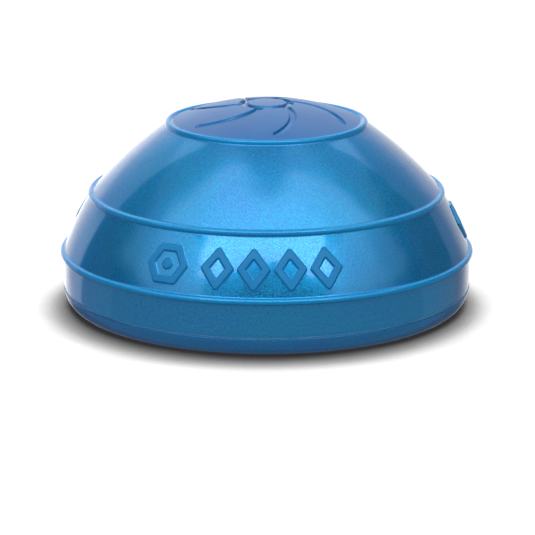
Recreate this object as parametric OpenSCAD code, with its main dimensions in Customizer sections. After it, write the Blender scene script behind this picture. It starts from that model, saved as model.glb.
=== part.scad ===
// Balance dome trainer: a small air-filled half dome to stand, step or press on.
// A moulded skin with three hoops, grip pads and raised side marks closes on a shallow base pan,
// which carries the tread and the inflation valve. The lowest hoop gives the greatest diameter.
// Origin: centre of the underside. +Z is up along the axis, and the first group of marks faces -Y.

/* [Dome] */
// Greatest diameter, over the lowest hoop
overall_d = 165; // [156:1:173]
// Height from the floor to the crown
overall_h = 81; // [78:0.5:82]
// Thickness of the moulded skin
wall_t = 3; // [2:0.25:3.5]
// How far the lower flank bows out from its chord
low_bulge = 0.75; // [0.5:0.05:1]
// How far the upper flank bows out from its chord
mid_bulge = 1.35; // [0.9:0.05:1.8]

/* [Hoops] */
// Radius of a hoop's round section
hoop_r = 1.2; // [0.8:0.1:1.6]
// Height of the lowest hoop
low_hoop_z = 21.5; // [19:0.5:24]
// Height of the middle hoop
mid_hoop_z = 45; // [43:0.5:47]
// Height of the hoop around the crown
top_hoop_z = 72.8; // [72:0.1:73.6]
// Diameter of the dome's skin under the middle hoop
mid_hoop_d = 139.6; // [136:0.2:142]
// Diameter of the dome's skin under the crown hoop
top_hoop_d = 77.8; // [74:0.2:82]

/* [Crown pads] */
// Depth of the channels between the crown pads
channel_depth = 0.9; // [0.5:0.1:1.2]
// Width of the channels
channel_w = 2.7; // [1.5:0.1:3.5]
// Number of curved channels
channel_count = 6; // [4:1:8]
// Radius of the round pad at the middle
hub_pad_r = 8; // [6:0.5:10]
// Radius that the curved channels end at
channel_end_r = 33; // [30:0.5:34]

/* [Side marks] */
// Number of groups of marks around the lower flank
group_count = 3; // [1:1:3]
// Lozenges in a group
lozenge_count = 4; // [2:1:5]
// Width of a lozenge
lozenge_w = 12.6; // [10:0.2:13]
// Height of a lozenge along the flank
lozenge_h = 17.2; // [14:0.2:18]
// Angle from one lozenge to the next
lozenge_step = 10.3; // [10:0.1:10.8]
// Turn of the first lozenge from the front
lozenge_first = -13.9; // [-15:0.1:-12]
// Turn of the hexagon from the front
hexagon_turn = -29; // [-31:0.5:-27]
// Radius of the hexagon, over its corners
hexagon_r = 8.6; // [7:0.1:9]
// Width of a mark's line
mark_line = 2.6; // [2:0.1:3]
// How far the marks stand out of the skin
mark_relief = 0.8; // [0.4:0.1:1]
// Height of the middle of the marks
mark_z = 32.6; // [32:0.1:34]

/* [Base] */
// Height of the seam between dome and base
seam_z = 7.6; // [7:0.2:8.4]
// Radius of the rounded foot edge
foot_r = 8.6; // [8.6:0.2:11]
// Depth of the grooves between the tread rings
tread_depth = 1; // [0.5:0.1:1.4]
// Width of a tread ring
tread_w = 3; // [2:0.25:4]
// Number of tread rings inside the foot
tread_count = 5; // [3:1:6]
// Height of the lap that the dome is bonded over
lap_h = 6; // [4:0.5:7]
// Thickness of the lap
lap_t = 2; // [1.5:0.25:2.5]
// Radial gap left for adhesive and assembly
bond_gap = 0.05; // [0.02:0.01:0.1]

/* [Valve] */
// Radius of the recess at the underside
recess_r = 17; // [15:0.5:18]
// Depth of the recess, up from the floor
recess_h = 5.6; // [5.2:0.1:6]
// Radius of the seat's barrel
seat_r = 6; // [5.5:0.1:6.5]
// Radius of the seat's flanges
flange_r = 9; // [8:0.25:9.5]
// Thickness of a flange
flange_t = 1.5; // [1.2:0.1:1.6]
// Height of the barrel above the upper flange
barrel_h = 10; // [8:0.5:11]
// Radius of the rubber core
core_r = 4; // [3.5:0.1:4.3]
// Radius of the needle hole in the core
needle_r = 1; // [0.8:0.05:1.2]
// Thickness of the core's closed end, which seals round a needle
core_end_t = 3; // [2:0.5:4]
// Radial clearance between the plug's pin and the needle hole
pin_gap = 0.05; // [0.02:0.01:0.08]
// Radius of the plug's head
head_r = 6.6; // [6:0.1:7.5]
// Thickness of the plug's head
head_t = 1.6; // [1.2:0.1:1.8]
// Length of the plug's pin
pin_l = 10; // [8:0.5:11]
// Length of the lip that a fingernail lifts the plug by
lip_l = 3; // [2:0.25:3.5]

/* [Hidden] */
$fa = 3;
$fs = 0.7;
skin_blue = [0.16, 0.56, 0.78];
base_blue = [0.12, 0.40, 0.63];
valve_blue = [0.10, 0.34, 0.58];
core_grey = [0.16, 0.17, 0.19];
plug_blue = [0.20, 0.50, 0.76];

// Points of the outline, as [radius, height]
wall_r = overall_d / 2 - hoop_r;
low_pt = [wall_r, low_hoop_z];
mid_pt = [mid_hoop_d / 2, mid_hoop_z];
top_pt = [top_hoop_d / 2, top_hoop_z];

// An arc through two points of the outline that bows out by a given amount: its radius and centre
function arc_r(a, b, bulge) = (norm(b - a) ^ 2 / 4 + bulge ^ 2) / (2 * bulge);
function out_of(a, b) = [b.y - a.y, a.x - b.x] / norm(b - a);
function arc_c(a, b, bulge) = (a + b) / 2 - out_of(a, b) * (arc_r(a, b, bulge) - bulge);
low_r = arc_r(low_pt, mid_pt, low_bulge);
low_c = arc_c(low_pt, mid_pt, low_bulge);
mid_r = arc_r(mid_pt, top_pt, mid_bulge);
mid_c = arc_c(mid_pt, top_pt, mid_bulge);
crown_rise = overall_h - top_pt.y;
crown_r = (top_pt.x ^ 2 + crown_rise ^ 2) / (2 * crown_rise);
crown_c = [0, overall_h - crown_r];

// Where the marks sit: the flank's radius there, and how far it leans in
mark_flank_r = low_c.x + sqrt(low_r ^ 2 - (mark_z - low_c.y) ^ 2);
mark_lean = asin((mark_z - low_c.y) / low_r);
mark_root = 1.5;
pip_r = 2;

// Radius of a channel's sweep, as a share of the radius that it ends at
channel_sweep = 0.62;

// Heights in the base and the valve
floor_top = tread_depth + wall_t;
inner_r = wall_r - wall_t;
foot_in_r = wall_r - foot_r;
recess_slope = 2.5;
recess_lip = 3;
seat_top = recess_h + wall_t + flange_t + barrel_h;
head_top = recess_h - flange_t;
core_gap = 0.8;
core_foot = head_top + core_gap;
lip_w = 6;
far = 2 * overall_d;
eps = 0.01;

// Region inside the dome's outline, moved in by inset
module dome_outline(inset) {
    intersection() {
        square([wall_r - inset, overall_h]);
        translate(low_c) circle(low_r - inset);
        translate(mid_c) circle(mid_r - inset);
        translate(crown_c) circle(crown_r - inset);
    }
}

module above(z) {
    translate([0, z]) square(far);
}

module turned(degrees = 360) {
    rotate_extrude(angle = degrees) children();
}

// The skin between seam and crown with its three hoops
module dome_skin() {
    turned() difference() {
        intersection() {
            union() {
                dome_outline(0);
                for (p = [low_pt, mid_pt, top_pt]) translate(p) circle(hoop_r);
            }
            above(seam_z);
        }
        dome_outline(wall_t);
    }
}

// Curved channels that sweep out from a ring channel round the middle pad
module channel_plan() {
    difference() {
        circle(hub_pad_r + channel_w);
        circle(hub_pad_r);
    }
    sweep_r = channel_end_r * channel_sweep;
    for (i = [0 : channel_count - 1]) rotate(i * 360 / channel_count) intersection() {
        translate([sweep_r, 0]) difference() {
            circle(sweep_r + channel_w / 2);
            circle(sweep_r - channel_w / 2);
        }
        difference() {
            circle(channel_end_r);
            circle(hub_pad_r + channel_w / 2);
        }
        translate([-far / 2, 0]) square(far);
    }
}

module crown_channels() {
    difference() {
        translate([0, 0, top_hoop_z - hoop_r]) linear_extrude(overall_h) channel_plan();
        translate([0, 0, crown_c.y]) sphere(crown_r - channel_depth);
    }
}

// Outlines of the side marks
module lozenge(w, h) {
    polygon([[w / 2, 0], [0, h / 2], [-w / 2, 0], [0, -h / 2]]);
}

module lozenge_mark() {
    side = norm([lozenge_w, lozenge_h]);
    inner_w = lozenge_w - 2 * mark_line * side / lozenge_h;
    inner_h = lozenge_h - 2 * mark_line * side / lozenge_w;
    difference() {
        lozenge(lozenge_w, lozenge_h);
        lozenge(inner_w, inner_h);
    }
}

module hexagon_mark() {
    difference() {
        circle(hexagon_r, $fn = 6);
        circle(hexagon_r - mark_line, $fn = 6);
    }
    circle(pip_r);
}

// Stands an outline up on the lower flank, square to the skin
module on_flank(turn) {
    rotate(turn) translate([0, -mark_flank_r, mark_z]) rotate([90 - mark_lean, 0, 0])
        translate([0, 0, -mark_root]) linear_extrude(2 * mark_root + mark_relief) children();
}

module mark_group() {
    on_flank(hexagon_turn) hexagon_mark();
    for (i = [0 : lozenge_count - 1]) on_flank(lozenge_first + i * lozenge_step) lozenge_mark();
}

module side_marks() {
    intersection() {
        for (g = [0 : group_count - 1]) rotate(g * 360 / group_count) mark_group();
        turned() difference() {
            intersection() {
                translate(low_c) circle(low_r + mark_relief);
                above(low_hoop_z);
                square([far, mid_hoop_z]);
            }
            dome_outline(wall_t / 2);
        }
    }
}

module dome_shell() {
    color(skin_blue) difference() {
        union() {
            dome_skin();
            side_marks();
        }
        crown_channels();
    }
}

// Section of the raised floor round the valve
module recess_section() {
    polygon([
        [seat_r + bond_gap, recess_h],
        [recess_r - recess_slope, recess_h],
        [recess_r, tread_depth],
        [recess_r + recess_lip, tread_depth],
        [recess_r + recess_lip, floor_top],
        [recess_r, recess_h + wall_t],
        [seat_r + bond_gap, recess_h + wall_t],
    ]);
}

module base_shell() {
    ring_from = recess_r + recess_lip;
    ring_step = (foot_in_r - ring_from - tread_w) / tread_count;
    color(base_blue) turned() {
        // Foot with its rounded edge, up to the seam
        difference() {
            intersection() {
                translate([foot_in_r, seam_z]) circle(foot_r);
                translate([foot_in_r, 0]) square([foot_r, seam_z]);
            }
            translate([0, floor_top]) square([inner_r, seam_z]);
        }
        // Floor and tread rings
        translate([ring_from - eps, tread_depth]) square([foot_in_r - ring_from + 2 * eps, wall_t]);
        for (i = [0 : tread_count - 1]) translate([ring_from + i * ring_step, 0])
            square([tread_w, tread_depth + eps]);
        recess_section();
        // Lap that stands up inside the dome
        translate([inner_r - bond_gap - lap_t, floor_top - eps])
            square([lap_t, seam_z + lap_h - floor_top]);
    }
}

// Grommet that grips the edge of the hole in the base, with a barrel for the core
module valve_seat() {
    color(valve_blue) turned() difference() {
        union() {
            translate([0, head_top]) square([seat_r, seat_top - head_top]);
            translate([0, head_top]) square([flange_r, flange_t]);
            translate([0, recess_h + wall_t]) square([flange_r, flange_t]);
        }
        square([core_r + bond_gap, far]);
    }
}

// Soft rubber cylinder with a blind needle hole
module valve_core() {
    color(core_grey) turned() difference() {
        translate([0, core_foot]) square([core_r, seat_top - core_foot]);
        square([needle_r, seat_top - core_end_t]);
    }
}

// Stopper: a low head in the recess, a pin in the needle hole and a lip for a fingernail
module valve_plug() {
    head_z = head_top - head_t;
    color(plug_blue) {
        translate([0, 0, head_z]) cylinder(h = head_t, r = head_r);
        translate([0, 0, head_top - eps]) cylinder(h = pin_l + eps, r = needle_r - pin_gap);
        translate([0, -lip_w / 2, head_z]) cube([head_r + lip_l, lip_w, head_t / 2]);
    }
}

dome_shell();
base_shell();
valve_seat();
valve_core();
valve_plug();
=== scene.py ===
import math

import bpy
import numpy as np
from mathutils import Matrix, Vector, geometry


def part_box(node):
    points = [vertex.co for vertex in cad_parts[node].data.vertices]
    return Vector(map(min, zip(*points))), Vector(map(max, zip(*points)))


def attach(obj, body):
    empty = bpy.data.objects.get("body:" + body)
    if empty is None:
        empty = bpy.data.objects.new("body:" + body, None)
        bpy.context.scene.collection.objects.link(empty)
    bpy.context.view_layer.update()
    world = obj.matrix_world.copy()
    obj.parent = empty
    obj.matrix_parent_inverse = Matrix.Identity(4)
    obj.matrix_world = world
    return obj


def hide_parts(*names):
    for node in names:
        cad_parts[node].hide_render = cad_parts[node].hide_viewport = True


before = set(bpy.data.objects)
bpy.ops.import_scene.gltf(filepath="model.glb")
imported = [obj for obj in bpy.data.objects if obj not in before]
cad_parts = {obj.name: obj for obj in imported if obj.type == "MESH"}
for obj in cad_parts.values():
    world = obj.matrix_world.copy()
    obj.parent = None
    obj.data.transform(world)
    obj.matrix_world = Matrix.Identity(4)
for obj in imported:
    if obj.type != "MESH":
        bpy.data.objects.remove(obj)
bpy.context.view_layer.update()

MM = 0.001

# ---------------------------------------------------------------- sizes, in millimetres, and angles
dome_low, dome_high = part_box("dome_shell")
base_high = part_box("base_shell")[1]

HOOP_R = 1.2
HOOP_FILLET = 0.45
HOOP_MARGIN = 0.12  # how far past the bead the hoop's material reaches
WALL_R = dome_high.x / MM - HOOP_R
CROWN_Z = dome_high.z / MM
SEAM_Z = dome_low.z / MM
WALL_T = 3.0
LOW_PT = (WALL_R, 21.5)
MID_PT = (69.8, 45.0)
TOP_PT = (38.9, 72.8)
LOW_BULGE = 0.75
MID_BULGE = 1.35

CHANNEL_DEPTH = 0.9
CHANNEL_W = 2.7
CHANNEL_COUNT = 6
CHANNEL_START_W, CHANNEL_END_W = 3.0, 2.0
CHANNEL_END_R = 33.0
CHANNEL_BEND_R = CHANNEL_END_R * 0.62
HUB_PAD_R = 8.0

GROUPS = 3
MARK_Z = 32.6
MARK_RELIEF = 0.8
MARK_LINE = 2.6
LOZENGE_W, LOZENGE_H = 12.6, 17.2
LOZENGE_CORNER, LOZENGE_HOLE_CORNER = 1.0, 0.5
LOZENGE_TURNS = [-13.9 + 10.3 * i for i in range(4)]
HEXAGON_TURN = -29.0
HEXAGON_R = 8.6
HEXAGON_CORNER, HEXAGON_HOLE_CORNER = 1.2, 0.8
PIP_R = 2.0
GROUP_START = -64  # where a third of the band begins: between two groups

ROUND = 480  # points round every ring
SECTOR = ROUND // GROUPS

# How fine the meshes are, and where their stretches meet. Steps are in millimetres, or radians on a hoop.
BEAD_STEP, FILLET_STEP = 0.2, 0.35
CONTOUR_STEP = 0.45
CROWN_STEP = 1.1
FLANK_ROWS = 15
FLANK_COLUMNS = 100
FLANK_STEP = 1.3
HOOP_GAP = 1.75  # from a hoop's middle to where the crown and the marked band begin
PLAIN_GAP = 2.2  # from a hoop's middle to where the upper flank's even rings begin


# ---------------------------------------------------------------- outline arcs
def arc_through(a, b, bulge):
    """Radius and centre of the arc through two outline points that bows out by bulge."""
    a, b = np.array(a), np.array(b)
    chord = b - a
    length = np.linalg.norm(chord)
    radius = (length**2 / 4 + bulge**2) / (2 * bulge)
    outwards = np.array([chord[1], -chord[0]]) / length
    return radius, (a + b) / 2 - outwards * (radius - bulge)


LOW_R, LOW_C = arc_through(LOW_PT, MID_PT, LOW_BULGE)
MID_R, MID_C = arc_through(MID_PT, TOP_PT, MID_BULGE)
CROWN_RISE = CROWN_Z - TOP_PT[1]
CROWN_R = (TOP_PT[0] ** 2 + CROWN_RISE**2) / (2 * CROWN_RISE)
CROWN_C = np.array([0.0, CROWN_Z - CROWN_R])


def on_arc(radius, centre, angle):
    return centre + radius * np.array([np.cos(angle), np.sin(angle)])


def arc_angle(centre, point):
    return math.atan2(point[1] - centre[1], point[0] - centre[0])


def sweep(centre, radius, start, end, step=0.2):
    """Points along an arc of the outline, both ends included, no further apart than step radians."""
    count = max(2, int(math.ceil(abs(end - start) / step)) + 1)
    angles = np.linspace(start, end, count)
    return [centre + radius * np.array([math.cos(a), math.sin(a)]) for a in angles]


def unit(v):
    return v / np.linalg.norm(v)


# ---------------------------------------------------------------- a mesh built ring by ring
class Surface:
    """Points with their true normals, and faces with a material slot."""

    def __init__(self):
        self.points, self.normals, self.faces, self.slots = [], [], [], []

    def add(self, points, normals):
        start = len(self.points)
        self.points += [tuple(p) for p in points]
        self.normals += [tuple(n) for n in normals]
        return list(range(start, start + len(points)))

    def ring(self, r, z, nr, nz):
        """A ring of points at radius r and height z, with normals (nr, nz) in the outline's plane."""
        turn = np.arange(ROUND) * 2 * math.pi / ROUND
        s, c = np.sin(turn), -np.cos(turn)
        return self.add(
            np.column_stack([r * s, r * c, np.full(ROUND, z)]),
            np.column_stack([nr * s, nr * c, np.full(ROUND, nz)]),
        )

    def bridge(self, upper, lower, slot):
        """Quads between two rings, facing away from the axis where upper is the higher ring."""
        for i in range(ROUND):
            j = (i + 1) % ROUND
            self.faces.append((upper[i], lower[i], lower[j], upper[j]))
            self.slots.append(slot)

    def lathe(self, path, slot, start=None, end=None):
        """Rings along a path of (r, z) points, from the ring start to the ring end if they are given.
        slot is a number, or a function of a point on the path. Returns the first and the last ring."""
        path = [np.array(p, float) for p in path]
        steps = [unit(b - a) for a, b in zip(path, path[1:])]
        tangents = [steps[0]] + [unit(a + b) for a, b in zip(steps, steps[1:])] + [steps[-1]]
        last = start
        first = None
        for i, (p, t) in enumerate(zip(path, tangents)):
            if i == 0 and start is not None:
                first = start
                continue
            if i == len(path) - 1 and end is not None:
                ring = end
            else:
                ring = self.ring(p[0], p[1], -t[1], t[0])
            if last is not None:
                kind = slot(0.5 * (path[i - 1] + p)) if callable(slot) else slot
                self.bridge(last, ring, kind)
            last = ring
            first = first or ring
        return first, last

    def cover(self, flat, triangles, index, slots):
        """Triangles over flat points, turned to face outwards, each with its slot."""
        for t, slot in zip(triangles, slots):
            a, b, c = (flat[k] for k in t)
            if (b[0] - a[0]) * (c[1] - a[1]) - (b[1] - a[1]) * (c[0] - a[0]) < 0:
                t = t[::-1]
            self.faces.append(tuple(index[k] for k in t))
            self.slots.append(slot)

    def make(self, name, materials):
        """The finished object, in metres, with its true normals."""
        mesh = bpy.data.meshes.new(name)
        mesh.from_pydata([tuple(c * MM for c in p) for p in self.points], [], self.faces)
        for m in materials:
            mesh.materials.append(m)
        mesh.polygons.foreach_set("material_index", self.slots)
        mesh.polygons.foreach_set("use_smooth", [True] * len(mesh.polygons))
        mesh.update()
        normals = np.array(self.normals)
        normals /= np.linalg.norm(normals, axis=1, keepdims=True)
        mesh.normals_split_custom_set_from_vertices([tuple(n) for n in normals])
        obj = bpy.data.objects.new(name, mesh)
        bpy.context.scene.collection.objects.link(obj)
        return obj


# ---------------------------------------------------------------- relief: distances and contours
# A relief's edge starts this far outside its outline and ends this far inside
EDGE_OUT, EDGE_IN = 0.38, 0.42
CONTOURS = np.linspace(EDGE_OUT, -EDGE_IN, 7)


def step_up(distance):
    """From 0 outside a relief's outline to 1 inside it."""
    t = np.clip((EDGE_OUT - distance) / (EDGE_OUT + EDGE_IN), 0, 1)
    return t * t * (3 - 2 * t)


def polygon_distance(p, corners):
    """Signed distance to a convex polygon whose corners run anticlockwise."""
    best = np.full(len(p), 1e9)
    inside = np.ones(len(p), bool)
    for a, b in zip(corners, np.roll(corners, -1, 0)):
        edge = b - a
        rel = p - a
        t = np.clip(rel @ edge / (edge @ edge), 0, 1)
        best = np.minimum(best, np.linalg.norm(rel - t[:, None] * edge, axis=1))
        inside &= edge[0] * rel[:, 1] - edge[1] * rel[:, 0] > 0
    return np.where(inside, -best, best)


def offset_loop(corners, offset, step):
    """Closed loop at a distance outside a convex polygon, round at its corners."""
    loop = []
    n = len(corners)
    for i in range(n):
        before, at, after = corners[i - 1], corners[i], corners[(i + 1) % n]
        e0, e1 = unit(at - before), unit(after - at)
        a0, a1 = math.atan2(-e0[0], e0[1]), math.atan2(-e1[0], e1[1])
        while a1 < a0:
            a1 += 2 * math.pi
        count = max(3, int(round((a1 - a0) * offset / step)) + 1)
        for a in np.linspace(a0, a1, count):
            loop.append(at + offset * np.array([math.cos(a), math.sin(a)]))
        start, end = loop[-1], after + offset * np.array([e1[1], -e1[0]])
        count = max(2, int(round(np.linalg.norm(end - start) / step)))
        loop += [start + (end - start) * k / count for k in range(1, count)]
    return np.array(loop)


class RoundedPolygon:
    """A convex outline with round corners, or with hole=True the hole of that outline."""

    def __init__(self, corners, corner_r, at=(0, 0), hole=False):
        corners = np.array(corners, float)
        n = len(corners)
        normals = []
        for i in range(n):
            e = unit(corners[(i + 1) % n] - corners[i])
            normals.append(np.array([e[1], -e[0]]))
        inner = []
        for i in range(n):
            m = np.array([normals[i - 1], normals[i]])
            inner.append(corners[i] - np.linalg.solve(m, np.full(2, corner_r)))
        self.corners = np.array(inner) + np.array(at)
        self.corner_r, self.hole = corner_r, hole

    def distance(self, p):
        d = polygon_distance(p, self.corners) - self.corner_r
        return -d if self.hole else d

    def loop(self, d, step):
        return offset_loop(self.corners, self.corner_r + (-d if self.hole else d), step)


class Disc:
    """A round outline, or with hole=True a round hole."""

    def __init__(self, radius, at=(0, 0), hole=False):
        self.radius, self.at, self.hole = radius, np.array(at, float), hole

    def distance(self, p):
        d = np.linalg.norm(p - self.at, axis=1) - self.radius
        return -d if self.hole else d

    def loop(self, d, step):
        r = self.radius + (-d if self.hole else d)
        turn = np.linspace(0, 2 * math.pi, max(12, int(2 * math.pi * r / step)), endpoint=False)
        return self.at + r * np.column_stack([np.cos(turn), np.sin(turn)])


class Groove:
    """A channel along an arc that leaves the axis, narrowing to its round end."""

    def __init__(self, turn, mid_r, start_r, end_r, start_w, end_w):
        self.mid_r = mid_r
        self.a0, self.a1 = (2 * math.asin(r / (2 * mid_r)) for r in (start_r, end_r))
        self.w0, self.w1 = start_w / 2, end_w / 2
        c, s = math.cos(turn), math.sin(turn)
        self.spin = np.array([[c, s], [-s, c]])

    def half_width(self, a):
        t = np.clip((a - self.a0) / (self.a1 - self.a0), 0, 1)
        return self.w0 + (self.w1 - self.w0) * t

    def at_angle(self, a, radius):
        return np.column_stack([self.mid_r - radius * np.cos(a), radius * np.sin(a)])

    def distance(self, p):
        q = p @ self.spin.T - np.array([self.mid_r, 0])
        a = np.arctan2(q[:, 1], -q[:, 0])
        held = np.clip(a, self.a0, self.a1)
        near = self.at_angle(held, self.mid_r) - np.array([self.mid_r, 0])
        return np.linalg.norm(q - near, axis=1) - self.half_width(held)

    def loop(self, d, step):
        count = int((self.a1 - self.a0) * self.mid_r / step)
        a = np.linspace(self.a0, self.a1, count)
        w = self.half_width(a) + d
        outer = self.at_angle(a, self.mid_r + w)
        inner = self.at_angle(a[::-1], self.mid_r - w[::-1])
        centre = self.at_angle(np.array([self.a1]), self.mid_r)[0]
        start = outer[-1] - centre
        spin = np.linspace(0, math.pi, max(4, int(math.pi * w[-1] / step)))[1:-1]
        cap = [centre + [start[0] * math.cos(k) + start[1] * math.sin(k),
                         start[1] * math.cos(k) - start[0] * math.sin(k)] for k in spin]
        return np.vstack([outer, cap, inner]) @ self.spin


def relief_points(shapes, distance, step, keep):
    """Contour points of shapes and the edges that join them, without stretches inside another shape."""
    points, edges = [], []
    for shape in shapes:
        for d in CONTOURS:
            loop = shape.loop(d, step)
            good = (np.abs(distance(loop) - d) < 0.02) & keep(loop)
            index = {}
            for i in np.flatnonzero(good):
                index[i] = len(points)
                points.append(loop[i])
            n = len(loop)
            edges += [(index[i], index[(i + 1) % n]) for i in index if (i + 1) % n in index]
    return points, edges


def triangulate(fixed, edges, loose):
    """Delaunay triangles over the points, keeping the edges. Returns points, fixed first, and triangles."""
    given = [Vector((float(x), float(y))) for x, y in list(fixed) + list(loose)]
    out = geometry.delaunay_2d_cdt(given, edges, [], 0, 1e-5)
    places, triangles, sources = out[0], out[2], out[3]
    number = {}
    points = [tuple(g) for g in given]
    for i, source in enumerate(sources):
        if source:
            number[i] = source[0]
        else:
            number[i] = len(points)
            points.append(tuple(places[i]))
    return np.array(points), [tuple(number[k] for k in t) for t in triangles]


def clear_of_edges(points, distance, outside, inside):
    """The points that keep these distances from a relief's edge, outside and inside its outline."""
    d = distance(points)
    return points[(d > EDGE_OUT + outside) | (d < -EDGE_IN - inside)]


def slope(height, p, step=0.01):
    """The height function's slope along x and y."""
    dx, dy = np.array([step, 0]), np.array([0, step])
    return (
        (height(p + dx) - height(p - dx)) / (2 * step),
        (height(p + dy) - height(p - dy)) / (2 * step),
    )


# ---------------------------------------------------------------- crown: pads and channels
SKIN, MARK, PAD, CHANNEL, HOOP = range(5)
CROWN_EDGE = TOP_PT[0] - HOOP_GAP
ring_out, ring_in = Disc(HUB_PAD_R + CHANNEL_W), Disc(HUB_PAD_R, hole=True)
grooves = [
    Groove(math.radians(i * 360 / CHANNEL_COUNT), CHANNEL_BEND_R, HUB_PAD_R + CHANNEL_W / 2,
           CHANNEL_END_R, CHANNEL_START_W, CHANNEL_END_W)
    for i in range(CHANNEL_COUNT)
]


def channel_distance(p):
    d = np.maximum(ring_out.distance(p), ring_in.distance(p))
    for g in grooves:
        d = np.minimum(d, g.distance(p))
    return d


def channel_height(p):
    return -CHANNEL_DEPTH * step_up(channel_distance(p))


def crown(surface):
    """The crown inside the top hoop. Returns its rim ring."""
    everywhere = lambda p: np.ones(len(p), bool)
    shapes = [ring_out, ring_in] + grooves
    contour, edges = relief_points(shapes, channel_distance, CONTOUR_STEP, everywhere)
    turn = np.arange(ROUND) * 2 * math.pi / ROUND
    rim = CROWN_EDGE * np.column_stack([np.sin(turn), -np.cos(turn)])
    loose = [(0.0, 0.0)]
    rows = int(CROWN_EDGE / CROWN_STEP)
    for k in range(1, rows + 1):
        r = CROWN_EDGE * k / (rows + 0.6)
        count = max(6, int(2 * math.pi * r / CROWN_STEP))
        for i in range(count):
            a = 2 * math.pi * (i + 0.5 * (k % 2)) / count
            loose.append((r * math.cos(a), r * math.sin(a)))
    loose = clear_of_edges(np.array(loose), channel_distance, 0.4, 0.3)
    fixed = np.vstack([rim, np.array(contour)])
    edges = [(a + ROUND, b + ROUND) for a, b in edges]
    edges += [(i, (i + 1) % ROUND) for i in range(ROUND)]
    flat, triangles = triangulate(fixed, edges, loose)
    h = channel_height(flat)
    hx, hy = slope(channel_height, flat)
    out = np.column_stack([flat / CROWN_R, np.sqrt(1 - (flat**2).sum(1) / CROWN_R**2)])
    grad = np.column_stack([hx, hy, np.zeros(len(flat))])
    grad -= out * (grad * out).sum(1)[:, None]
    places = out * (CROWN_R + h)[:, None] + [0, 0, CROWN_C[1]]
    index = surface.add(places, out - grad)
    slots = [PAD if h[list(t)].mean() > -0.4 * CHANNEL_DEPTH else CHANNEL for t in triangles]
    surface.cover(flat, triangles, index, slots)
    return index[:ROUND]


# ---------------------------------------------------------------- hoops
def hoop_path(before, centre, after):
    """Outline of a hoop: fillet, round bead, fillet. before and after are unit tangents down the skin."""
    foot = math.sqrt(HOOP_R**2 + 2 * HOOP_R * HOOP_FILLET)
    path = []
    centre = np.array(centre)
    out_before = np.array([-before[1], before[0]])
    out_after = np.array([-after[1], after[0]])
    f0 = centre - foot * before + HOOP_FILLET * out_before
    f1 = centre + foot * after + HOOP_FILLET * out_after
    a0, a1 = arc_angle(f0, f0 - out_before), arc_angle(f0, centre)
    path += sweep(f0, HOOP_FILLET, a0, a0 + wrapped(a1 - a0), FILLET_STEP)
    b0, b1 = arc_angle(centre, f0), arc_angle(centre, f1)
    path += sweep(centre, HOOP_R, b0, b0 - abs(wrapped(b0 - b1)), BEAD_STEP)[1:-1]
    c0, c1 = arc_angle(f1, centre), arc_angle(f1, f1 - out_after)
    path += sweep(f1, HOOP_FILLET, c0, c0 + wrapped(c1 - c0), FILLET_STEP)
    return path


def wrapped(angle):
    """The same angle, between minus and plus half a turn."""
    return (angle + math.pi) % (2 * math.pi) - math.pi


def tangent_down(centre, point):
    """Unit tangent of an outline arc at a point, towards the floor."""
    n = unit(np.array(point) - centre)
    return np.array([n[1], -n[0]])


# ---------------------------------------------------------------- lower flank with its marks
mark_r = LOW_C[0] + math.sqrt(LOW_R**2 - (MARK_Z - LOW_C[1]) ** 2)
mark_angle = math.asin((MARK_Z - LOW_C[1]) / LOW_R)


def lozenge(w, h):
    return [(w / 2, 0), (0, h / 2), (-w / 2, 0), (0, -h / 2)]


def hexagon(r):
    return [(r * math.cos(math.radians(60 * i)), r * math.sin(math.radians(60 * i))) for i in range(6)]


mark_shapes = []
side = math.hypot(LOZENGE_W, LOZENGE_H)
hole_w = LOZENGE_W - 2 * MARK_LINE * side / LOZENGE_H
hole_h = LOZENGE_H - 2 * MARK_LINE * side / LOZENGE_W
for turn in LOZENGE_TURNS:
    x = math.radians(turn) * mark_r
    mark_shapes.append((
        RoundedPolygon(lozenge(LOZENGE_W, LOZENGE_H), LOZENGE_CORNER, (x, 0)),
        RoundedPolygon(lozenge(hole_w, hole_h), LOZENGE_HOLE_CORNER, (x, 0), hole=True),
    ))
x = math.radians(HEXAGON_TURN) * mark_r
hexagon_hole_r = HEXAGON_R - MARK_LINE * 2 / math.sqrt(3)
mark_shapes.append((
    RoundedPolygon(hexagon(HEXAGON_R), HEXAGON_CORNER, (x, 0)),
    RoundedPolygon(hexagon(hexagon_hole_r), HEXAGON_HOLE_CORNER, (x, 0), hole=True),
))
mark_shapes.append((Disc(PIP_R, (x, 0)),))


def mark_distance(p):
    d = np.full(len(p), 1e9)
    for shapes in mark_shapes:
        d = np.minimum(d, np.max([s.distance(p) for s in shapes], 0))
    return d


def mark_height(p):
    return MARK_RELIEF * step_up(mark_distance(p))


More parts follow.
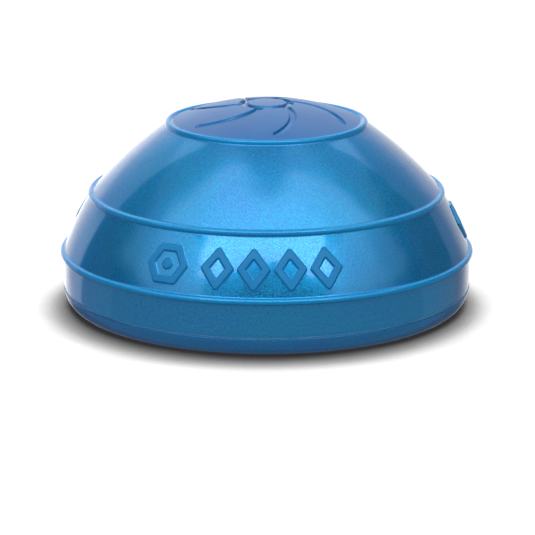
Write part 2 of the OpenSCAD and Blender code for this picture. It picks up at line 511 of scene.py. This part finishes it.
def lower_flank(surface):
    """The band between the middle and the lowest hoop, with a group of marks in each third.
    Returns its upper and lower rings."""
    top = on_arc(LOW_R, LOW_C, arc_angle(LOW_C, MID_PT) - HOOP_GAP / LOW_R)
    bottom = on_arc(LOW_R, LOW_C, arc_angle(LOW_C, LOW_PT) + HOOP_GAP / LOW_R)
    v_top = (arc_angle(LOW_C, top) - mark_angle) * LOW_R
    v_low = (arc_angle(LOW_C, bottom) - mark_angle) * LOW_R
    # One third of the band laid flat: u runs round the dome and v up it, both in millimetres
    step = 2 * math.pi * mark_r / ROUND
    first = int(round(math.radians(GROUP_START) * mark_r / step))
    u = (first + np.arange(SECTOR + 1)) * step
    v = np.linspace(v_low, v_top, FLANK_ROWS + 1)[1:-1]
    border = [(x, v_top) for x in u] + [(x, v_low) for x in u]
    border += [(u[0], y) for y in v] + [(u[-1], y) for y in v]
    inside = lambda p: (p[:, 1] > v_low + 0.3) & (p[:, 1] < v_top - 0.3)
    shapes = [s for group in mark_shapes for s in group]
    contour, edges = relief_points(shapes, mark_distance, CONTOUR_STEP, inside)
    edges = [(a + len(border), b + len(border)) for a, b in edges]
    n, m = len(u), len(v)
    edges += [(i, i + 1) for i in range(n - 1)] + [(n + i, n + i + 1) for i in range(n - 1)]
    loose = []
    for k, y in enumerate(v):
        stagger = (0.4 if k % 2 else -0.4) * (u[-1] - u[0]) / (2 * FLANK_COLUMNS)
        loose += [(x, y) for x in np.linspace(u[0], u[-1], FLANK_COLUMNS)[1:-1] + stagger]
    loose = clear_of_edges(np.array(loose), mark_distance, 0.45, 0.25)
    flat, triangles = triangulate(np.vstack([np.array(border), np.array(contour)]), edges, loose)
    h = mark_height(flat)
    hx, hy = slope(mark_height, flat)
    slots = [MARK if h[list(t)].mean() > 0.35 * MARK_RELIEF else SKIN for t in triangles]
    # The same third wrapped on to the dome three times, sharing the rings and the columns between them
    upper = surface.ring(top[0], top[1], *unit(top - LOW_C))
    lower = surface.ring(bottom[0], bottom[1], *unit(bottom - LOW_C))
    angle = mark_angle + flat[:, 1] / LOW_R
    ring_r = LOW_C[0] + LOW_R * np.cos(angle)
    columns = []
    placed = []
    for g in range(GROUPS):
        turn = flat[:, 0] / mark_r + g * 2 * math.pi / GROUPS
        s, c = np.sin(turn), -np.cos(turn)
        out = np.column_stack([np.cos(angle) * s, np.cos(angle) * c, np.sin(angle)])
        along = np.column_stack([-c, s, np.zeros(len(flat))])
        up = np.column_stack([-np.sin(angle) * s, -np.sin(angle) * c, np.cos(angle)])
        base = np.column_stack([LOW_C[0] * s, LOW_C[0] * c, np.full(len(flat), LOW_C[1])])
        places = base + out * (LOW_R + h)[:, None]
        normals = out - along * (hx * mark_r / ring_r)[:, None] - up * hy[:, None]
        own = surface.add(places[2 * n:], normals[2 * n:])
        start = first + g * SECTOR
        index = [upper[(start + i) % ROUND] for i in range(n)]
        index += [lower[(start + i) % ROUND] for i in range(n)] + own
        columns.append(own[:m])
        placed.append(index)
    for g, index in enumerate(placed):
        index[2 * n + m: 2 * n + 2 * m] = columns[(g + 1) % GROUPS]
        surface.cover(flat, triangles, index, slots)
    return upper, lower


# ---------------------------------------------------------------- the two shells
SEAM_ROUND = 0.1
WALL_RINGS = 9
INNER_WALL_HEIGHTS = (12.0, 17.0, 21.0)
INNER_CROWN_RADII = (34, 24, 14, 5)


def near_hoop(place):
    """The slot of a point of the outline: hoop or plain skin."""
    away = min(np.linalg.norm(np.array(place) - centre) for centre in (TOP_PT, MID_PT, LOW_PT))
    return HOOP if away < HOOP_R + HOOP_MARGIN else SKIN


def inner_arc(radius, centre, low, high, count):
    """Path up a flank's inner face. low and high each hold an outline point and the angle, in radians,
    by which the path stops short of it."""
    start, end = arc_angle(centre, low[0]) + low[1], arc_angle(centre, high[0]) - high[1]
    return [tuple(on_arc(radius - WALL_T, centre, a)) for a in np.linspace(start, end, count)]


def dome_surface():
    """The dome: crown, flanks, wall and their inner faces, as one closed skin."""
    s = Surface()
    rim = crown(s)
    upper, lower = lower_flank(s)
    rim_z = CROWN_C[1] + math.sqrt(CROWN_R**2 - CROWN_EDGE**2)
    # Crown hoop, upper flank and middle hoop
    before = tangent_down(CROWN_C, (CROWN_EDGE, rim_z))
    after = tangent_down(MID_C, TOP_PT)
    top_hoop = hoop_path(before, TOP_PT, after)
    a0 = arc_angle(MID_C, TOP_PT) - PLAIN_GAP / MID_R
    a1 = arc_angle(MID_C, MID_PT) + PLAIN_GAP / MID_R
    flank = sweep(MID_C, MID_R, a0, a1, FLANK_STEP / MID_R)
    mid_hoop = hoop_path(tangent_down(MID_C, MID_PT), MID_PT, tangent_down(LOW_C, MID_PT))
    path = [(CROWN_EDGE, rim_z)] + top_hoop + flank + mid_hoop
    end = s.points[upper[0]]
    path.append((math.hypot(end[0], end[1]), end[2]))
    s.lathe(path, near_hoop, start=rim, end=upper)
    # Lowest hoop, wall and seam edge, then up the inside to the crown
    low_hoop = hoop_path(tangent_down(LOW_C, LOW_PT), LOW_PT, np.array([0.0, -1.0]))
    start = s.points[lower[0]]
    path = [(math.hypot(start[0], start[1]), start[2])] + low_hoop
    path += [(WALL_R, z) for z in np.linspace(low_hoop[-1][1], SEAM_Z + SEAM_ROUND, WALL_RINGS)[1:]]
    path += [(WALL_R - SEAM_ROUND * 0.3, SEAM_Z + SEAM_ROUND * 0.3), (WALL_R - SEAM_ROUND, SEAM_Z)]
    last = s.lathe(path, near_hoop, start=lower)[1]
    inner_r = WALL_R - WALL_T
    inner = [(WALL_R - SEAM_ROUND, SEAM_Z), (inner_r + 0.2, SEAM_Z), (inner_r, SEAM_Z + 0.2)]
    inner += [(inner_r, z) for z in INNER_WALL_HEIGHTS]
    inner += inner_arc(LOW_R, LOW_C, (LOW_PT, 0.03), (MID_PT, 0.01), 5)
    inner += inner_arc(MID_R, MID_C, (MID_PT, 0.02), (TOP_PT, 0.02), 6)
    inner += [(r, CROWN_C[1] + math.sqrt((CROWN_R - WALL_T) ** 2 - r * r)) for r in INNER_CROWN_RADII]
    last = s.lathe(inner, SKIN, start=last)[1]
    pole = s.add([(0, 0, CROWN_C[1] + CROWN_R - WALL_T)], [(0, 0, -1)])[0]
    for i in range(ROUND):
        s.faces.append((last[i], pole, last[(i + 1) % ROUND]))
        s.slots.append(SKIN)
    return s


FOOT_R = 8.6
LIP_OUT = 0.14  # how far the seam's edge stands out of the wall
TREAD_DEPTH = 1.0
TREAD_W = 3.0
TREAD_SLOPE = 0.3
TREAD_COUNT = 5
RECESS_R, RECESS_H, RECESS_SLOPE, RECESS_LIP = 17.0, 5.6, 2.5, 3.0
HOLE_R = 6.05
LAP_T, LAP_GAP = 2.0, 0.05
FOOT_IN = WALL_R - FOOT_R
FLOOR_TOP = TREAD_DEPTH + WALL_T


def rounded(points, radii, step=0.4):
    """A path through points with its corners rounded, each by its own radius."""
    path = [np.array(points[0], float)]
    for before, at, after, r in zip(points, points[1:], points[2:], radii):
        before, at, after = (np.array(q, float) for q in (before, at, after))
        u, v = unit(before - at), unit(after - at)
        half = math.acos(max(-1, min(1, u @ v))) / 2
        r = min(r, 0.49 * math.tan(half) * min(np.linalg.norm(before - at), np.linalg.norm(after - at)))
        centre = at + unit(u + v) * r / math.sin(half)
        a0 = arc_angle(centre, at + u * r / math.tan(half))
        turn = wrapped(arc_angle(centre, at + v * r / math.tan(half)) - a0)
        path += sweep(centre, r, a0, a0 + turn, step)
    path.append(np.array(points[-1], float))
    return path


FOOT, TREAD, LIP = range(3)


def base_surface():
    """The base: foot, treads, the valve's recess and hole, and its inner face, as one closed skin."""
    s = Surface()
    foot_c = np.array([FOOT_IN, SEAM_Z])
    touch = -math.asin(SEAM_Z / FOOT_R)
    edge = sweep(foot_c, FOOT_R, -0.04, touch + 0.09, 0.07)
    # The seam's rounded edge, from the joint outwards and down to the foot
    outer = [(WALL_R - 0.35, SEAM_Z), (WALL_R + LIP_OUT - 0.12, SEAM_Z - 0.02),
             (WALL_R + LIP_OUT, SEAM_Z - 0.12), (WALL_R + LIP_OUT - 0.06, SEAM_Z - 0.26),
             (WALL_R - 0.01, SEAM_Z - 0.36)]
    # The underside, from the foot over the treads to the valve's hole
    corners = [tuple(edge[-1]), (edge[-1][0] - 0.55, 0.0), (FOOT_IN, 0.0), (FOOT_IN - 0.4, TREAD_DEPTH)]
    radii = [0.9, 0.4, 0.3]
    start = RECESS_R + RECESS_LIP
    pitch = (FOOT_IN - start - TREAD_W) / TREAD_COUNT
    for i in reversed(range(TREAD_COUNT)):
        r = start + i * pitch
        corners += [(r + TREAD_W + TREAD_SLOPE, TREAD_DEPTH), (r + TREAD_W, 0.0), (r, 0.0),
                    (r - TREAD_SLOPE, TREAD_DEPTH)]
        radii += [0.3, 0.4, 0.4, 0.3]
    corners += [(RECESS_R, TREAD_DEPTH), (RECESS_R - RECESS_SLOPE, RECESS_H), (HOLE_R, RECESS_H)]
    radii += [0.8, 1.0]
    under = rounded(corners, radii)
    # The inner face, from the hole over the rim inside the dome and out to the joint
    lap_r, lap_top = WALL_R - WALL_T - LAP_GAP, base_high.z / MM
    inside = [(HOLE_R, RECESS_H + WALL_T), (RECESS_R, RECESS_H + WALL_T),
              (start + 0.6, FLOOR_TOP), (WALL_R - WALL_T - LAP_T, FLOOR_TOP),
              (WALL_R - WALL_T - LAP_T, lap_top), (lap_r, lap_top), (lap_r, SEAM_Z),
              (WALL_R - 0.35, SEAM_Z)]
    path = outer + list(edge) + under[1:]

    def kind(at):
        """The slot of a point of the outline: seam edge, tread or foot."""
        if at[0] > WALL_R - 0.3 and at[1] > SEAM_Z - 0.4:
            return LIP
        return TREAD if at[0] < FOOT_IN + 1.5 and at[1] < TREAD_DEPTH + 0.1 else FOOT

    first, last = s.lathe(path, kind)
    s.lathe([path[-1]] + rounded(inside, [0.6, 1.0, 1.0, 0.8, 0.4, 0.4]), FOOT, start=last, end=first)
    return s


# ---------------------------------------------------------------- materials
def new_material(name, colour, rough, coat, coat_rough, specular):
    """A material, its node tree and its shader."""
    m = bpy.data.materials.new(name)
    m.use_nodes = True
    b = m.node_tree.nodes["Principled BSDF"]
    b.inputs["Base Color"].default_value = (*colour, 1)
    b.inputs["Roughness"].default_value = rough
    b.inputs["Coat Weight"].default_value = coat
    b.inputs["Coat Roughness"].default_value = coat_rough
    b.inputs["Specular IOR Level"].default_value = specular
    m.diffuse_color = (*colour, 1)
    return m, m.node_tree, b


def noise(tree, where, scale, detail, rough=0.5):
    """A noise texture's value at where, about 0.5 on average."""
    n = tree.nodes.new("ShaderNodeTexNoise")
    n.inputs["Scale"].default_value = scale
    n.inputs["Detail"].default_value = detail
    n.inputs["Roughness"].default_value = rough
    tree.links.new(where, n.inputs["Vector"])
    return n.outputs["Fac"]


def ramp(tree, value, stops):
    """Colours along value, from (place, colour) stops."""
    r = tree.nodes.new("ShaderNodeValToRGB")
    for _ in stops[2:]:
        r.color_ramp.elements.new(1.0)
    for e, (at, colour) in zip(r.color_ramp.elements, stops):
        e.position = at
        e.color = (*colour, 1)
    tree.links.new(value, r.inputs["Fac"])
    return r.outputs["Color"]


def scaled(tree, value, low, high, start=0.0, end=1.0, smooth=False):
    """value taken from the range start-end to the range low-high, and held there."""
    m = tree.nodes.new("ShaderNodeMapRange")
    if smooth:
        m.interpolation_type = "SMOOTHSTEP"
    for socket, number in (("From Min", start), ("From Max", end), ("To Min", low), ("To Max", high)):
        m.inputs[socket].default_value = number
    tree.links.new(value, m.inputs["Value"])
    return m.outputs["Result"]


def calc(tree, operation, *values):
    """One step of arithmetic on numbers and node outputs."""
    m = tree.nodes.new("ShaderNodeMath")
    m.operation = operation
    for socket, v in zip(m.inputs, values):
        if isinstance(v, (int, float)):
            socket.default_value = v
        else:
            tree.links.new(v, socket)
    return m.outputs[0]


def bump(tree, height, distance, under=None):
    """A normal tilted by height, which is distance metres at 1, on top of the normal under."""
    b = tree.nodes.new("ShaderNodeBump")
    b.inputs["Distance"].default_value = distance
    tree.links.new(height, b.inputs["Height"])
    if under:
        tree.links.new(under, b.inputs["Normal"])
    return b.outputs["Normal"]


def place(tree):
    """Where a point of the surface is on its own object, in metres."""
    return tree.nodes.new("ShaderNodeTexCoord").outputs["Object"]


# Noise scales, in cells to the metre, and bump heights in metres
DUST, FLAKES, SPECKS = 4200, 3000, 2000
CLOUD, DRIFT, RIPPLE = 60, 40, 26
RIPPLE_HEIGHT, SPECK_HEIGHT = 0.0009, 0.00001
EDGE_TINT = (0.05, 0.02, 0.06)  # what the flakes give back when seen edge on


def pearl_vinyl(name, deep, pearl, share, rough, coat, coat_rough=0.03):
    """Deep blue vinyl with fine pearl flakes in it, which light up towards a lamp, under a clear gloss.
    share is the part of the skin that the flakes cover."""
    m, tree, b = new_material(name, deep, rough, coat, coat_rough, 0.0)
    b.inputs["Specular Tint"].default_value = (*EDGE_TINT, 1)
    where = place(tree)
    dust = scaled(tree, noise(tree, where, DUST, 1.0), share - 0.3, share + 0.3, 0.3, 0.7)
    specks = scaled(tree, noise(tree, where, SPECKS, 2.0, 0.6), -0.13, 0.13, 0.3, 0.7)
    drift = scaled(tree, noise(tree, where, DRIFT, 3.0), -0.05, 0.05, 0.3, 0.7)
    mask = calc(tree, "ADD", calc(tree, "ADD", dust, specks), drift)
    tree.links.new(ramp(tree, mask, [(0, deep), (1, pearl)]), b.inputs["Base Color"])
    tree.links.new(scaled(tree, mask, 0, 1), b.inputs["Metallic"])
    flakes = scaled(tree, noise(tree, where, FLAKES, 1.0), rough - 0.14, rough + 0.14, 0.42, 0.58)
    tree.links.new(flakes, b.inputs["Roughness"])
    ripple = bump(tree, noise(tree, where, RIPPLE, 2.0, 0.45), RIPPLE_HEIGHT)
    tree.links.new(bump(tree, specks, SPECK_HEIGHT, ripple), b.inputs["Normal"])
    tree.links.new(ripple, b.inputs["Coat Normal"])
    return m


def plain_vinyl(name, low, high, rough, coat, grain, height, coat_rough=0.12, specular=0.5):
    """Vinyl between two close colours, with a fine moulded grain of this scale and height."""
    m, tree, b = new_material(name, high, rough, coat, coat_rough, specular)
    where = place(tree)
    cloud = noise(tree, where, CLOUD, 4.0, 0.6)
    fine = noise(tree, where, grain, 3.0, 0.6)
    tree.links.new(ramp(tree, cloud, [(0.35, low), (0.65, high)]), b.inputs["Base Color"])
    tree.links.new(scaled(tree, fine, rough - 0.06, rough + 0.1), b.inputs["Roughness"])
    tree.links.new(bump(tree, fine, height), b.inputs["Normal"])
    return m


skin = pearl_vinyl(
    "pearl_vinyl", (0.075, 0.03, 0.9), (0.005, 0.54, 0.84), share=0.72, rough=0.34, coat=0.95)
# The foot and underside: the pearl vinyl in darker colours, which are painted shade of the foot near the
# floor
foot = pearl_vinyl(
    "foot_vinyl_painted_shade", (0.045, 0.06, 0.66), (0.012, 0.49, 0.72), share=0.52, rough=0.38, coat=0.65,
    coat_rough=0.1)
hoops = pearl_vinyl(
    "hoop_vinyl", (0.012, 0.31, 0.9), (0.01, 0.6, 1.0), share=0.4, rough=0.38, coat=0.7,
    coat_rough=0.05)
channels = pearl_vinyl(
    "channel_vinyl", (0.02, 0.2, 0.56), (0.015, 0.3, 0.66), share=0.5, rough=0.35, coat=0.67)
marks = plain_vinyl(
    "mark_vinyl", (0.006, 0.27, 0.66), (0.008, 0.32, 0.74), rough=0.5, coat=0.1,
    grain=900, height=0.00003, coat_rough=0.25, specular=0.3)
pads = plain_vinyl(
    "pad_vinyl", (0.012, 0.17, 0.52), (0.016, 0.195, 0.57), rough=0.5, coat=0.3,
    grain=1400, height=0.00006, coat_rough=0.3)
# The seam's edge in a lighter blue: a painted highlight, the light line that its ridge catches
seam = plain_vinyl(
    "seam_painted_highlight", (0.05, 0.26, 0.52), (0.14, 0.4, 0.66), rough=0.45, coat=0.12, grain=900, height=0.00002)
tread = plain_vinyl(
    "tread_vinyl", (0.012, 0.08, 0.22), (0.016, 0.11, 0.28), rough=0.7, coat=0.0, grain=700, height=0.00015)
seat = plain_vinyl(
    "seat_vinyl", (0.012, 0.07, 0.2), (0.016, 0.09, 0.25), rough=0.5, coat=0.1, grain=900, height=0.00005)
core = plain_vinyl(
    "core_rubber", (0.008, 0.008, 0.01), (0.016, 0.016, 0.018), rough=0.75, coat=0.0,
    grain=1200, height=0.00008)
plug = plain_vinyl(
    "plug_plastic", (0.02, 0.15, 0.38), (0.03, 0.19, 0.45), rough=0.4, coat=0.2, grain=1500, height=0.00003)

# ---------------------------------------------------------------- pieces
dome = dome_surface().make("dome_skin", [skin, marks, pads, channels, hoops])
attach(dome, "pod")
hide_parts("dome_shell")

base = base_surface().make("base_pan", [foot, tread, seam])
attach(base, "pod")
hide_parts("base_shell")

for name, m in (("valve_seat", seat), ("valve_core", core), ("valve_plug", plug)):
    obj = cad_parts[name]
    obj.data.materials.clear()
    obj.data.materials.append(m)

# ---------------------------------------------------------------- stage, light and camera
# The floor glows white, with a painted shadow close to the object, drawn from the ambient occlusion there.
# The painted shadow is narrower towards the back and the right, as in the photo.
SHADE_REACH = 0.026
floor_mat = bpy.data.materials.new("floor_white")
floor_mat.use_nodes = True
tree = floor_mat.node_tree
tree.nodes.clear()
near = tree.nodes.new("ShaderNodeAmbientOcclusion")
near.samples = 16
near.inputs["Distance"].default_value = SHADE_REACH
spot = tree.nodes.new("ShaderNodeSeparateXYZ")
tree.links.new(place(tree), spot.inputs[0])
# Painted shadow: the occlusion is made lighter towards the back and the right, then a ramp turns it into
# the floor's glow
to_back = scaled(tree, spot.outputs["Y"], -0.05, 0.17, -0.085, 0.02)
to_right = scaled(tree, spot.outputs["X"], 0, 0.03, 0, 0.06)
open_sky = calc(tree, "ADD", calc(tree, "ADD", near.outputs["AO"], to_back), to_right)
painted_shadow = ramp(tree, open_sky, [
    (0.4, (0.03, 0.03, 0.032)),
    (0.53, (0.08, 0.08, 0.082)),
    (0.7, (0.38, 0.38, 0.38)),
    (0.87, (1.05, 1.05, 1.05)),
])
glow = tree.nodes.new("ShaderNodeEmission")
tree.links.new(painted_shadow, glow.inputs["Color"])
tree.links.new(glow.outputs[0], tree.nodes.new("ShaderNodeOutputMaterial").inputs[0])
bpy.ops.mesh.primitive_plane_add(size=40, location=(0, 0, 0))
floor = bpy.context.object
floor.name = "floor"
floor.data.materials.append(floor_mat)
floor.visible_diffuse = floor.visible_glossy = floor.visible_shadow = False

# A white studio: light panels in front and overhead, a white wall behind, and a dim room round the camera.
# All angles are in degrees: azimuth 0 is the front, elevation 90 is overhead.
LIGHT = 1.5
BACKDROP = 1.2
world = bpy.data.worlds.new("studio")
bpy.context.scene.world = world
world.use_nodes = True
wt = world.node_tree
wt.nodes.clear()
way = wt.nodes.new("ShaderNodeSeparateXYZ")
wt.links.new(wt.nodes.new("ShaderNodeTexCoord").outputs["Generated"], way.inputs[0])
azimuth = calc(wt, "ARCTAN2", way.outputs["X"], calc(wt, "MULTIPLY", way.outputs["Y"], -1))
aside = calc(wt, "DEGREES", calc(wt, "ABSOLUTE", azimuth))
up = calc(wt, "DEGREES", calc(wt, "ARCSINE", way.outputs["Z"]))


def above(value, at, soft):
    """0 below a limit and 1 above it, with a smooth change soft degrees wide."""
    return scaled(wt, value, 0, 1, at - soft / 2, at + soft / 2, smooth=True)


def below(value, at, soft):
    """1 below a limit and 0 above it."""
    return scaled(wt, value, 1, 0, at - soft / 2, at + soft / 2, smooth=True)


def times(strength, *factors):
    """The product of a number and of node outputs."""
    got = strength
    for f in factors:
        got = calc(wt, "MULTIPLY", got, f)
    return got


def band(low, low_soft, high, high_soft):
    """1 between two elevations, with its own soft edge at each."""
    return times(1, above(up, low, low_soft), below(up, high, high_soft))


# Where the panels are. left is 1 on the left side and 0 on the right. reach is aside with 7 degrees more
# on the right. arch is the height over the front strip's lower edge, which drops from 38.7 to 28 degrees.
middle = below(aside, 60, 20)
wings = times(1, above(aside, 60, 20), below(aside, 98, 10))
beside = times(1, above(aside, 98, 4), below(aside, 128, 3))
behind = above(aside, 128, 3)
left = scaled(wt, way.outputs["X"], 1, 0, -0.25, 0.25, smooth=True)
reach = calc(wt, "ADD", aside, scaled(wt, way.outputs["X"], 0, 7, -0.25, 0.25, smooth=True))
arch = calc(wt, "SUBTRACT", up, scaled(wt, aside, 38.7, 28, 12, 36))
panels = [
    # The white wall behind, from its foot to its top, brighter on the left and straight behind
    times(0.13, behind, below(up, -20, 8)),
    times(0.22, behind, band(-20, 8, 12, 12)),
    times(0.4, behind, left, band(-20, 8, 12, 12)),
    times(0.19, behind, band(12, 12, 40, 8)),
    times(0.19, behind, left, band(12, 12, 40, 8)),
    times(0.68, behind, band(40, 8, 55, 10)),
    times(0.54, above(aside, 150, 30), band(-19, 8, 50, 30)),
    # The room at both sides, dim except near the floor and overhead
    times(0.22, beside, below(up, 0, 10)),
    times(0.05, beside, band(0, 10, 42, 5)),
    times(0.18, beside, band(42, 5, 80, 12)),
    # The high panels: over the wings, over the middle in two parts, and all round overhead
    times(0.74, wings, band(42, 5, 80, 12)),
    times(1.2, middle, band(48, 4, 58, 8)),
    times(0.85, middle, band(58, 8, 80, 12)),
    times(0.16, above(up, 66, 16)),
    # The bright strip in front, arched at its lower edge, and the softer lamps on each side of it
    times(1.75, above(arch, 0, 1.5), below(up, 48, 4), below(aside, 43, 6)),
    times(0.5, band(18, 8, 42, 4), above(aside, 36, 10), below(reach, 80, 14)),
    times(0.26, band(18, 8, 42, 4), above(reach, 80, 14), below(reach, 98, 10)),
    # The light from low in front, and from the floor there
    times(0.22, middle, band(-5, 10, 12, 8)),
    times(0.18, below(up, -5, 10), below(aside, 98, 10)),
]
total = 0.0
for panel in panels:
    total = calc(wt, "ADD", total, panel)
room = wt.nodes.new("ShaderNodeBackground")
wt.links.new(calc(wt, "MULTIPLY", total, LIGHT), room.inputs["Strength"])
room.inputs["Color"].default_value = (1, 1, 1, 1)
backdrop = wt.nodes.new("ShaderNodeBackground")
backdrop.inputs["Color"].default_value = (1, 1, 1, 1)
backdrop.inputs["Strength"].default_value = BACKDROP
mix = wt.nodes.new("ShaderNodeMixShader")
wt.links.new(wt.nodes.new("ShaderNodeLightPath").outputs["Is Camera Ray"], mix.inputs[0])
wt.links.new(room.outputs[0], mix.inputs[1])
wt.links.new(backdrop.outputs[0], mix.inputs[2])
wt.links.new(mix.outputs[0], wt.nodes.new("ShaderNodeOutputWorld").inputs[0])

# The photo's view: a long lens about a metre away, looking down a little
CAMERA_AT = (0, -1.039, 0.2946)
LOOK_DOWN = 15.15
camera = bpy.data.cameras.new("camera")
camera.lens = 180
camera.sensor_width = 36
camera.shift_x, camera.shift_y = 0.0017, -0.0017
camera.clip_start, camera.clip_end = 0.05, 100
cam = bpy.data.objects.new("camera", camera)
cam.location = CAMERA_AT
cam.rotation_euler = (math.radians(90 - LOOK_DOWN), 0, 0)
bpy.context.scene.collection.objects.link(cam)
bpy.context.scene.camera = cam
bpy.context.scene.view_settings.view_transform = "Standard"
